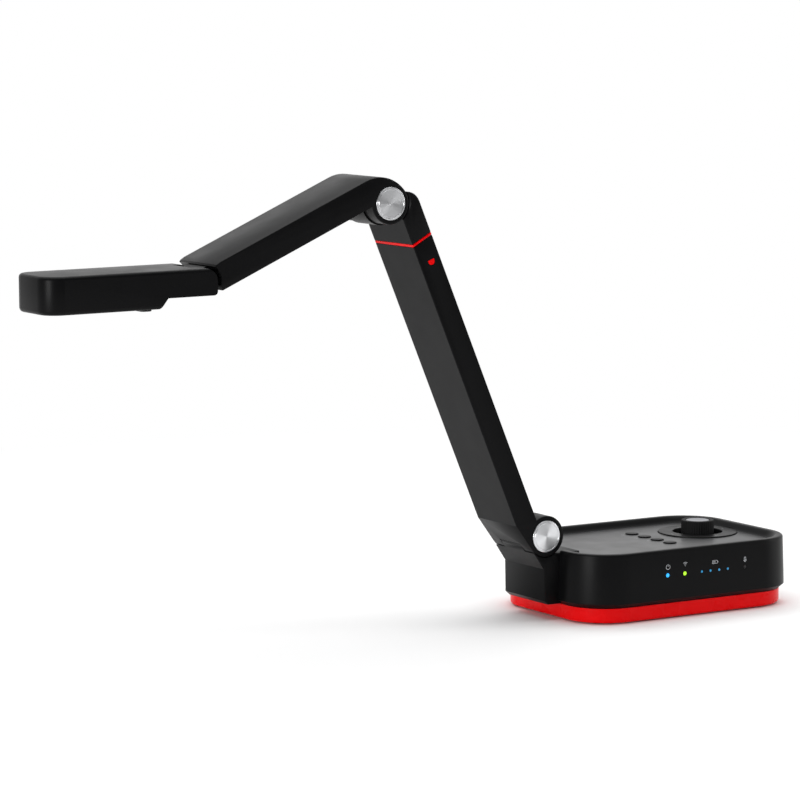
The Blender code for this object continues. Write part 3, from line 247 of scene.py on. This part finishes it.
moulded_rubber(natural_rubber, "#1b1b1b")
black_abs = coloured_abs("satin_black_abs", "#0c0c0d", 0.36, 0.45, 0.004, 0.08)


def repaint(material, *nodes):
    """Give CAD nodes that keep their shape a finished material."""
    for name in nodes:
        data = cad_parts[name].data
        data.materials.clear()
        data.materials.append(material)


def disc_block(mesh, middle, radius, bottom, top, segments=48):
    """Add an upright round block to a mesh."""
    place = Matrix.Translation((middle[0], middle[1], (bottom + top) / 2))
    bmesh.ops.create_cone(mesh, cap_ends=True, segments=segments, radius1=radius, radius2=radius,
                          depth=top - bottom, matrix=place)


for number in range(1, 5):
    low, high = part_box(f"rubber_foot_{number}")
    foot = bmesh.new()
    disc_block(foot, (low + high) / 2, (high.x - low.x) / 2, low.z, high.z)
    lower_rim = [edge for edge in foot.edges if all(abs(vert.co.z - low.z) < 1e-6 for vert in edge.verts)]
    bmesh.ops.bevel(foot, geom=lower_rim, offset=0.0004, segments=3, profile=0.5, affect="EDGES",
                    material=-1)
    finish_piece(f"foot_{number}", foot, natural_rubber, "base", "black_rubber", f"rubber_foot_{number}")
repaint(black_abs, "underside_plate")

plated_steel = bpy.data.materials.new("zinc_plated_steel")


def bare_metal(material, colour, roughness, grain_mm):
    """Bare or plated metal: full metallic, with a faint uneven sheen."""
    material.use_nodes = True
    tree = material.node_tree
    shader = tree.nodes["Principled BSDF"]
    shader.inputs["Base Color"].default_value = linear(colour)
    shader.inputs["Metallic"].default_value = 1.0
    place = add_node(tree, "ShaderNodeTexCoord").outputs["Object"]
    cloud = add_node(tree, "ShaderNodeTexNoise", {"Scale": 1000 / grain_mm, "Detail": 4.0},
                     {"Vector": place})
    sheen = add_node(tree, "ShaderNodeMapRange", {"To Min": roughness - 0.08, "To Max": roughness + 0.08},
                     {"Value": cloud.outputs["Fac"]})
    tree.links.new(sheen.outputs["Result"], shader.inputs["Roughness"])


bare_metal(plated_steel, "#c3c3c6", 0.32, 1.5)
repaint(plated_steel, "ballast_plate", "case_screw_1", "case_screw_2", "case_screw_3", "case_screw_4",
        "hdmi_socket", "usb_socket", "base_hinge_shaft", "base_hinge_washer", "elbow_shaft", "elbow_washer",
        "head_hinge_shaft")

# --- Inside the base ----------------------------------------------------------------------------------
# The battery in its shrink wrap and the circuit boards, green solder resist over glass fibre. None of it
# shows in the closed case.
shrink_wrap = coloured_abs("battery_shrink_wrap", "#2b3140", 0.35, 2.0, 0.01)
solder_resist = coloured_abs("green_solder_resist", "#0f4d2a", 0.30, 1.2, 0.01)
repaint(shrink_wrap, "battery_pack")
repaint(solder_resist, "main_board", "control_board", "camera_board")
repaint(natural_rubber, "control_seat")

# --- Black upper housing ------------------------------------------------------------------------------
# The top half of the case: satin black ABS with drafted sides, a chamfer over the seam, a rolled rim and
# a shallow tray that holds the control panel. Windows are moulded in for lights, sockets and pedestal.


def cut(piece, tools):
    """Cut a mesh of tools out of a piece."""
    data = bpy.data.meshes.new("tools")
    tools.to_mesh(data)
    tools.free()
    cutter = bpy.data.objects.new("tools", data)
    bpy.context.collection.objects.link(cutter)
    bite = piece.modifiers.new("cut", "BOOLEAN")
    bite.solver = "EXACT"
    bite.use_self = True
    bite.object = cutter
    bpy.context.view_layer.update()
    result = bpy.data.meshes.new_from_object(piece.evaluated_get(bpy.context.evaluated_depsgraph_get()))
    piece.modifiers.clear()
    finish = piece.data.materials[0]
    piece.data = result
    result.materials.clear()
    result.materials.append(finish)
    result.name = piece.name
    bpy.data.objects.remove(cutter)
    result.shade_smooth()
    result.set_sharp_from_angle(angle=math.radians(32))


def square_block(mesh, low, high):
    """Add a plain block to a mesh, from its lowest and highest corners."""
    middle = (Vector(low) + Vector(high)) / 2
    size = Vector(high) - Vector(low)
    bmesh.ops.create_cube(mesh, size=1, matrix=Matrix.Translation(middle) @ Matrix.Diagonal((*size, 1)))


def side_pin(mesh, middle, radius, depth, segments=32):
    """Add a round block that lies along Y to a mesh."""
    place = Matrix.Translation(middle) @ Matrix.Rotation(math.pi / 2, 4, "X")
    bmesh.ops.create_cone(mesh, cap_ends=True, segments=segments, radius1=radius, radius2=radius,
                          depth=depth, matrix=place)


def control_holes(mesh, bottom, top):
    """Add the openings for the navigation ring and the buttons to a mesh of tools."""
    for name, gap in [("navigation_ring", 0.0004)] + [(f"round_button_{n}", 0.0004) for n in range(1, 5)]:
        low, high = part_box(name)
        disc_block(mesh, (low + high) / 2, (high.x - low.x) / 2 + gap, bottom, top, 96)


low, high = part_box("upper_housing")
seam_top = low.z + 0.0036
rim_round = 0.002
side_lean = 0.0013
tray_drop = 0.005
housing = rounded_block((low.x, low.y, seam_top), (high.x, high.y, seam_top + 0.0005), 0.039)
step_in(housing, False, [(0.004, 0.0036)])
roll = [math.pi * step / 10 for step in range(11)]
steps = [(side_lean, high.z - rim_round - seam_top - 0.0005)] + quarter_round(rim_round, 6) + [(0.003, 0)]
steps += [(0.0006, tray_drop / 2 * (math.cos(b) - math.cos(a))) for a, b in zip(roll, roll[1:])]
panel_recess = 0.0011
steps += [(0.0001, -panel_recess)]
step_in(housing, True, steps)
case = finish_piece("housing", housing, black_abs, "base", "satin_black_plastic", "upper_housing")
tools = bmesh.new()
pedestal_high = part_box("hinge_pedestal")[1]
half_notch = pedestal_high.y + 0.0003
square_block(tools, (low.x - 0.02, -half_notch, low.z - 0.01), (-0.0840, half_notch, high.z + 0.01))
plate_low, plate_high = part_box("port_plate")
square_block(tools, (plate_low.x - 0.0003, high.y - 0.013, plate_low.z - 0.0003),
             (plate_high.x + 0.0003, high.y + 0.01, plate_high.z + 0.0003))
for name in ["power_light", "wireless_light", "microphone"] + [f"battery_light_{n}" for n in range(1, 5)]:
    pin_low, pin_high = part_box(name)
    middle = (pin_low + pin_high) / 2
    side_pin(tools, middle, (pin_high.x - pin_low.x) / 2 + 0.0002, 0.008)
control_holes(tools, high.z - 0.012, high.z + 0.01)
cut(case, tools)

# --- Control panel ------------------------------------------------------------------------------------
# A thin polycarbonate overlay with a velvet face, die cut round the controls and stuck to the tray floor.
# Its small symbols are screen printed in light grey.
panel_film = coloured_abs("velvet_polycarbonate_film", "#1d1d1f", 0.36, 0.30, 0.002, 0.45)
low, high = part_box("control_panel")
overlay = rounded_block(low, high, 0.0265)
film = finish_piece("control_film", overlay, panel_film, "base", "panel_film", "control_panel")
tools = bmesh.new()
square_block(tools, (low.x - 0.02, -half_notch, low.z - 0.01), (-0.0840, half_notch, high.z + 0.01))
control_holes(tools, low.z - 0.005, high.z + 0.01)
cut(film, tools)

print_ink = bpy.data.materials.new("light_grey_screen_ink")
print_ink.use_nodes = True
ink_shader = print_ink.node_tree.nodes["Principled BSDF"]
ink_shader.inputs["Base Color"].default_value = linear("#b9bcc0")
ink_shader.inputs["Roughness"].default_value = 0.55


def ring_points(middle, radius, start, end, count=20):
    """Points round part of a circle, with its angles in degrees."""
    angles = [math.radians(start + (end - start) * step / count) for step in range(count + 1)]
    return [(middle[0] + radius * math.cos(a), middle[1] + radius * math.sin(a)) for a in angles]


def print_symbol(name, strokes, width_mm, body, to_place, flat_axis):
    """Printed line symbol: strokes in millimetres, laid on a face by to_place and pressed nearly flat."""
    curve = bpy.data.curves.new(name, "CURVE")
    curve.dimensions = "3D"
    curve.bevel_depth = width_mm / 2000
    curve.bevel_resolution = 1
    curve.use_fill_caps = True
    for stroke in strokes:
        line = curve.splines.new("POLY")
        line.points.add(len(stroke) - 1)
        for point, (across, up) in zip(line.points, stroke):
            point.co = (*to_place(across / 1000, up / 1000), 1)
    drawn = bpy.data.objects.new(name, curve)
    bpy.context.collection.objects.link(drawn)
    bpy.context.view_layer.update()
    data = bpy.data.meshes.new_from_object(drawn.evaluated_get(bpy.context.evaluated_depsgraph_get()))
    bpy.data.objects.remove(drawn)
    surface = to_place(0, 0)[flat_axis]
    for vert in data.vertices:
        vert.co[flat_axis] = surface + (vert.co[flat_axis] - surface) * 0.12
    data.materials.clear()
    data.materials.append(print_ink)
    piece = bpy.data.objects.new(name, data)
    bpy.context.collection.objects.link(piece)
    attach(piece, body)


for number in range(1, 5):
    low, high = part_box(f"round_button_{number}")
    middle = (low + high) / 2
    symbols = {
        1: [ring_points((0, 0), 1.1, 0, 360)],
        2: [[(-1.1, -0.9), (1.1, -0.9), (1.1, 0.9), (-1.1, 0.9), (-1.1, -0.9)]],
        3: [[(-1.1, 0), (1.1, 0)], [(0, -1.1), (0, 1.1)]],
        4: [[(-1.1, 0), (1.1, 0)]],
    }
    film_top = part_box("control_panel")[1].z
    print_symbol(f"button_symbol_{number}", symbols[number], 0.35, "base",
                 lambda across, up: (middle.x - 0.0092 + across, middle.y + up, film_top), 2)

# --- Knob, centre key, navigation ring and buttons ----------------------------------------------------
# The knob is soft-touch black with a fluted grip, round a satin metal key. The ring round it and the four
# buttons are moulded black caps that stand a millimetre above the panel and press down on switch domes.


def turned_piece(profile, middle, segments=96):
    """Turn a profile of (radius, height) points about an upright axis."""
    mesh = bmesh.new()
    points = [mesh.verts.new((middle[0] + radius, middle[1], height)) for radius, height in profile]
    for first, second in zip(points, points[1:]):
        mesh.edges.new((first, second))
    bmesh.ops.spin(mesh, geom=mesh.verts[:] + mesh.edges[:], cent=(middle[0], middle[1], 0), axis=(0, 0, 1),
                   angle=math.tau, steps=segments, use_merge=True)
    bmesh.ops.remove_doubles(mesh, verts=mesh.verts, dist=1e-6)
    bmesh.ops.recalc_face_normals(mesh, faces=mesh.faces)
    return mesh


def rounded_profile(corner, radius, inward, upward, count=5):
    """Points of a rounded corner of a profile, whose sharp corner is given."""
    center = (corner[0] - inward * radius, corner[1] - upward * radius)
    turns = [math.pi / 2 * step / count for step in range(count + 1)]
    return [(center[0] + inward * radius * math.cos(a), center[1] + upward * radius * math.sin(a))
            for a in turns]


soft_touch = coloured_abs("soft_touch_black_paint", "#0f0f10", 0.62, 0.25, 0.004)
low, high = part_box("shuttle_knob")
key_low, key_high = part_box("ok_key")
middle = (low + high) / 2
flutes = 44
grip = bmesh.new()
grip_radius = (high.x - low.x) / 2
disc_block(grip, middle, grip_radius, low.z, high.z - 0.0008, flutes * 6)
for vert in grip.verts:
    around = math.atan2(vert.co.y - middle.y, vert.co.x - middle.x)
    depth = 1 - 0.024 * (0.5 - 0.5 * math.cos(around * flutes))
    vert.co.x = middle.x + (vert.co.x - middle.x) * depth
    vert.co.y = middle.y + (vert.co.y - middle.y) * depth
top = max(grip.faces, key=lambda item: item.calc_center_median().z)
radius = grip_radius
well_radius = (key_high.x - key_low.x) / 2 + 0.0003
edge_round = 0.0008
well_chamfer = 0.0004
room_to_press = 0.0006
rim = grip_radius - edge_round - well_radius
steps = quarter_round(edge_round, 4) + [(rim - well_chamfer, 0), (well_chamfer, -well_chamfer)]
steps += [(0, key_low.z - high.z - room_to_press)]
for run, rise in steps:
    grown = bmesh.ops.extrude_discrete_faces(grip, faces=[top])
    top = grown["faces"][0]
    shrink = (radius - run) / radius
    radius -= run
    for vert in top.verts:
        vert.co.x = middle.x + (vert.co.x - middle.x) * shrink
        vert.co.y = middle.y + (vert.co.y - middle.y) * shrink
        vert.co.z += rise
finish_piece("knob_grip", grip, soft_touch, "knob", "soft_touch_black", "shuttle_knob")

satin_metal = bpy.data.materials.new("satin_grey_anodised_aluminium")
bare_metal(satin_metal, "#8f9095", 0.38, 0.6)
key_radius = (key_high.x - key_low.x) / 2
profile = [(0, key_low.z), (key_radius, key_low.z)]
profile += rounded_profile((key_radius, key_high.z), 0.0008, 1, 1)
profile += [(key_radius * 0.6, key_high.z - 0.0003), (key_radius * 0.3, key_high.z - 0.0005),
            (0, key_high.z - 0.0006)]
finish_piece("centre_key", turned_piece(profile, middle), satin_metal, "ok_key", "grey_metal_finish",
             "ok_key")

low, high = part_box("navigation_ring")
middle = (low + high) / 2
outer = (high.x - low.x) / 2
inner = 0.0205
ring = [(inner, low.z), (outer, low.z)] + rounded_profile((outer, high.z), 0.0006, 1, 1)
ring += [(outer - 0.0030, high.z), (outer - 0.0060, high.z - 0.0003), (inner + 0.0030, high.z - 0.0003)]
ring += list(reversed(rounded_profile((inner, high.z), 0.0006, -1, 1))) + [(inner, low.z)]
finish_piece("direction_ring", turned_piece(ring, middle), black_abs, "navigation_ring",
             "satin_black_plastic", "navigation_ring")
ring_middle = middle.copy()
ring_top = high.z - 0.0003
arrows = []
for quarter in range(4):
    turn = math.radians(90 * quarter)
    for corner in [[(-1.0, 25.2), (0.0, 26.6), (1.0, 25.2)]]:
        arrows.append([(x * math.cos(turn) - y * math.sin(turn), x * math.sin(turn) + y * math.cos(turn))
                       for x, y in corner])
print_symbol("direction_arrows", arrows, 0.40, "navigation_ring",
             lambda across, up: (ring_middle.x + across, ring_middle.y + up, ring_top), 2)

for number in range(1, 5):
    low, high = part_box(f"round_button_{number}")
    middle = (low + high) / 2
    radius = (high.x - low.x) / 2
    cap = [(0, low.z), (radius, low.z)] + rounded_profile((radius, high.z - 0.0002), 0.0006, 1, 1)
    cap += [(radius * 0.5, high.z - 0.00005), (0, high.z)]
    finish_piece(f"button_cap_{number}", turned_piece(cap, middle, 64), black_abs, f"button_{number}",
                 "satin_black_plastic", f"round_button_{number}")

# --- Front lights -------------------------------------------------------------------------------------
# Clear acrylic light pipes pressed into the front wall, lit blue or green from the board behind, and the
# microphone's dark hole. Small line symbols are printed above them.


def light_pipe(name, colour, strength):
    """Lit acrylic: the colour shines through a clear glossy face."""
    material = bpy.data.materials.new(name)
    material.use_nodes = True
    shader = material.node_tree.nodes["Principled BSDF"]
    shader.inputs["Base Color"].default_value = linear(colour)
    shader.inputs["Roughness"].default_value = 0.15
    shader.inputs["Emission Color"].default_value = linear(colour)
    shader.inputs["Emission Strength"].default_value = strength
    return material


blue_pipe = light_pipe("lit_blue_acrylic", "#2aa4ee", 0.85)
dim_blue_pipe = light_pipe("dimly_lit_blue_acrylic", "#2b86b8", 0.42)
green_pipe = light_pipe("lit_green_acrylic", "#9ad81e", 0.9)
for name, pipe, slot in [("power_light", blue_pipe, "blue_light_pipe"),
                         ("wireless_light", green_pipe, "green_light_pipe"),
                         ("microphone", natural_rubber, "black_rubber")] + [
                             (f"battery_light_{n}", dim_blue_pipe, "blue_light_pipe") for n in range(1, 5)]:
    low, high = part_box(name)
    middle = (low + high) / 2
    radius = (high.x - low.x) / 2
    pin = bmesh.new()
    side_pin(pin, middle, radius, high.y - low.y)
    front_rim = [edge for edge in pin.edges if all(abs(vert.co.y - low.y) < 1e-6 for vert in edge.verts)]
    bmesh.ops.bevel(pin, geom=front_rim, offset=radius * 0.35, segments=3, profile=0.5, affect="EDGES",
                    material=-1)
    finish_piece(f"{name}_pipe", pin, pipe, "base", slot, name)

wall_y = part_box("power_light")[0].y - 0.00002
row_z = (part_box("power_light")[0].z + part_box("power_light")[1].z) / 2


def front_symbol(name, x, rise, strokes):
    """Print a symbol on the front wall, above the row of lights."""
    print_symbol(name, strokes, 0.45, "base", lambda across, up: (x + across, wall_y, row_z + rise + up), 1)


front_symbol("power_symbol", -0.0306, 0.0066, [ring_points((0, 0), 1.9, 125, 415), [(0, 0.3), (0, 2.5)]])
front_symbol("wireless_symbol", -0.0138, 0.0060,
             [ring_points((0, 0), 3.0, 50, 130), ring_points((0, 0), 1.9, 50, 130),
              ring_points((0, 0), 0.8, 50, 130), [(-0.15, 0), (0.15, 0)]])
front_symbol("battery_symbol", 0.0158, 0.0066,
             [[(-2.6, -1.2), (2.2, -1.2), (2.2, 1.2), (-2.6, 1.2), (-2.6, -1.2)], [(2.8, -0.5), (2.8, 0.5)],
              [(-1.8, -0.6), (-1.8, 0.6)], [(-0.9, -0.6), (-0.9, 0.6)], [(0, -0.6), (0, 0.6)]])
front_symbol("microphone_symbol", 0.0457, 0.0062,
             [ring_points((0, 0.9), 0.8, 0, 180, 8) + ring_points((0, -0.1), 0.8, 180, 360, 8)
              + [(0.8, 0.9)],
              ring_points((0, 0), 1.6, 200, 340, 8), [(0, -1.6), (0, -2.3)]])

# --- Sockets in the back wall -------------------------------------------------------------------------
# A black plate carries two shielded sockets, folded from plated steel round a black tongue, and the
# power inlet with its centre pin.
repaint(black_abs, "port_plate", "power_inlet")

# --- Pedestal and arm shells --------------------------------------------------------------------------
# Satin black ABS mouldings, with the arm's square section eased along every edge. The pedestal is fixed
# to the ballast, and the arm is a deep shell closed by a cover on its inner face.


def moulded_shell(name, node, body, material, slot, edge_mm=0.25, sharp=30):
    """Moulding with the CAD node's shape: its triangles merged and its hard edges eased."""
    mesh = bmesh.new()
    mesh.from_mesh(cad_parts[node].data)
    bmesh.ops.remove_doubles(mesh, verts=mesh.verts, dist=2e-6)
    bmesh.ops.dissolve_limit(mesh, angle_limit=math.radians(0.4), verts=mesh.verts[:], edges=mesh.edges[:])
    piece = finish_piece(name, mesh, material, body, slot, node, sharp=sharp)
    if edge_mm:
        ease = piece.modifiers.new("ease", "BEVEL")
        ease.width = edge_mm / 1000
        ease.segments = 2
        ease.limit_method = "ANGLE"
        ease.angle_limit = math.radians(40)
        ease.use_clamp_overlap = True
        ease.harden_normals = True
    return piece


moulded_shell("pedestal", "hinge_pedestal", "base", black_abs, "satin_black_plastic")
moulded_shell("lower_shell", "lower_arm_shell", "lower_arm", black_abs, "satin_black_plastic")
moulded_shell("lower_cover", "lower_arm_cover", "lower_arm", black_abs, "satin_black_plastic")
moulded_shell("elbow_horns", "elbow_piece", "lower_arm", black_abs, "satin_black_plastic")
moulded_shell("upper_shell", "upper_arm_shell", "upper_arm", black_abs, "satin_black_plastic")
moulded_shell("upper_cover", "upper_arm_cover", "upper_arm", black_abs, "satin_black_plastic")

# --- Red band and mark --------------------------------------------------------------------------------
# Gloss red ABS like the lower shell: a collar clipped between the arm and the elbow, and a half-round
# inlay on the near side.
moulded_shell("band", "red_band", "lower_arm", gloss_red, "red_plastic", edge_mm=0.1)
moulded_shell("mark", "red_marker", "lower_arm", gloss_red, "red_plastic", edge_mm=0.1)

# --- Hinge caps ---------------------------------------------------------------------------------------
# Turned aluminium discs pressed over the hinge ends. The lathe leaves fine rings, which stretch each
# highlight into a bright wedge across the face.
turned_aluminium = bpy.data.materials.new("lathe_turned_aluminium")
turned_aluminium.use_nodes = True
tree = turned_aluminium.node_tree
shader = tree.nodes["Principled BSDF"]
shader.inputs["Base Color"].default_value = linear("#d9dadc")
shader.inputs["Metallic"].default_value = 1.0
shader.inputs["Roughness"].default_value = 0.28
shader.inputs["Anisotropic"].default_value = 0.95
shader.inputs["Anisotropic Rotation"].default_value = 0.25
along = add_node(tree, "ShaderNodeTangent", {"direction_type": "UV_MAP", "uv_map": "rings"})
tree.links.new(along.outputs["Tangent"], shader.inputs["Tangent"])
rings = add_node(tree, "ShaderNodeUVMap", {"uv_map": "rings"})
apart = add_node(tree, "ShaderNodeSeparateXYZ", links={"Vector": rings.outputs["UV"]})
across = add_node(tree, "ShaderNodeCombineXYZ", links={"X": apart.outputs["Y"]})
groove = add_node(tree, "ShaderNodeTexNoise", {"Scale": 1 / 0.00035, "Detail": 2.0},
                  {"Vector": across.outputs["Vector"]})
bump = add_node(tree, "ShaderNodeBump", {"Strength": 0.25, "Distance": 0.00003},
                {"Height": groove.outputs["Fac"]})
tree.links.new(bump.outputs["Normal"], shader.inputs["Normal"])

for joint, body in (("base_hinge", "lower_arm"), ("elbow", "upper_arm")):
    for end, side in (("near", -1), ("far", 1)):
        low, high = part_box(f"{joint}_cap_{end}")
        middle = (low + high) / 2
        radius = (high.x - low.x) / 2
        thickness = high.y - low.y
        profile = [(0, 0), (radius, 0)] + rounded_profile((radius, thickness), 0.0005, 1, 1)
        profile += [(radius - 0.0012, thickness), (radius - 0.0015, thickness - 0.0003),
                    (radius - 0.0018, thickness - 0.0003), (radius - 0.0021, thickness),
                    (radius * 0.5, thickness), (0.0002, thickness), (0, thickness)]
        disc = turned_piece(profile, (0, 0))
        uv = disc.loops.layers.uv.new("rings")
        for face in disc.faces:
            turns = [math.atan2(loop.vert.co.y, loop.vert.co.x) / math.tau for loop in face.loops]
            for loop, turn in zip(face.loops, turns):
                if max(turns) - min(turns) > 0.5 and turn < 0:
                    turn += 1
                distance = math.hypot(loop.vert.co.x, loop.vert.co.y)
                if distance < 1e-6:
                    turn = max(turns, key=abs)
                loop[uv].uv = (turn, distance)
        start = low.y if side > 0 else high.y
        bmesh.ops.rotate(disc, verts=disc.verts, cent=(0, 0, 0),
                         matrix=Matrix.Rotation(-side * math.pi / 2, 3, "X"))
        bmesh.ops.translate(disc, verts=disc.verts, vec=(middle.x, start, middle.z))
        finish_piece(f"{joint}_disc_{end}", disc, turned_aluminium, body, "turned_aluminium",
                     f"{joint}_cap_{end}")
repaint(plated_steel, "lower_arm_spine")

# --- Camera head --------------------------------------------------------------------------------------
# A flat satin black ABS moulding on two ears, closed underneath by a cover that carries the lens in its
# barrel, the work lamp behind its milky window and the rubber pad that rests on the base when folded.
moulded_shell("head", "head_shell", "head", black_abs, "satin_black_plastic", edge_mm=0)
moulded_shell("head_cover_plate", "head_cover", "head", black_abs, "satin_black_plastic", edge_mm=0.2)
moulded_shell("pad", "rest_pad", "head", natural_rubber, "black_rubber", edge_mm=0.3)
moulded_shell("barrel", "lens_barrel", "head", black_abs, "satin_black_plastic", edge_mm=0.1)

lens_coating = bpy.data.materials.new("coated_optical_glass")
lens_coating.use_nodes = True
shader = lens_coating.node_tree.nodes["Principled BSDF"]
shader.inputs["Base Color"].default_value = linear("#1a1024")
shader.inputs["Roughness"].default_value = 0.04
shader.inputs["IOR"].default_value = 1.62
shader.inputs["Coat Weight"].default_value = 1.0
shader.inputs["Coat Tint"].default_value = linear("#8c6cff")
moulded_shell("lens", "lens_glass", "head", lens_coating, "coated_lens_glass", edge_mm=0)

milky = bpy.data.materials.new("milky_polycarbonate")
milky.use_nodes = True
shader = milky.node_tree.nodes["Principled BSDF"]
shader.inputs["Base Color"].default_value = linear("#ecebe4")
shader.inputs["Roughness"].default_value = 0.35
shader.inputs["Subsurface Weight"].default_value = 0.4
shader.inputs["Subsurface Scale"].default_value = 0.002
moulded_shell("lamp_diffuser", "lamp_window", "head", milky, "lamp_diffuser", edge_mm=0.1)
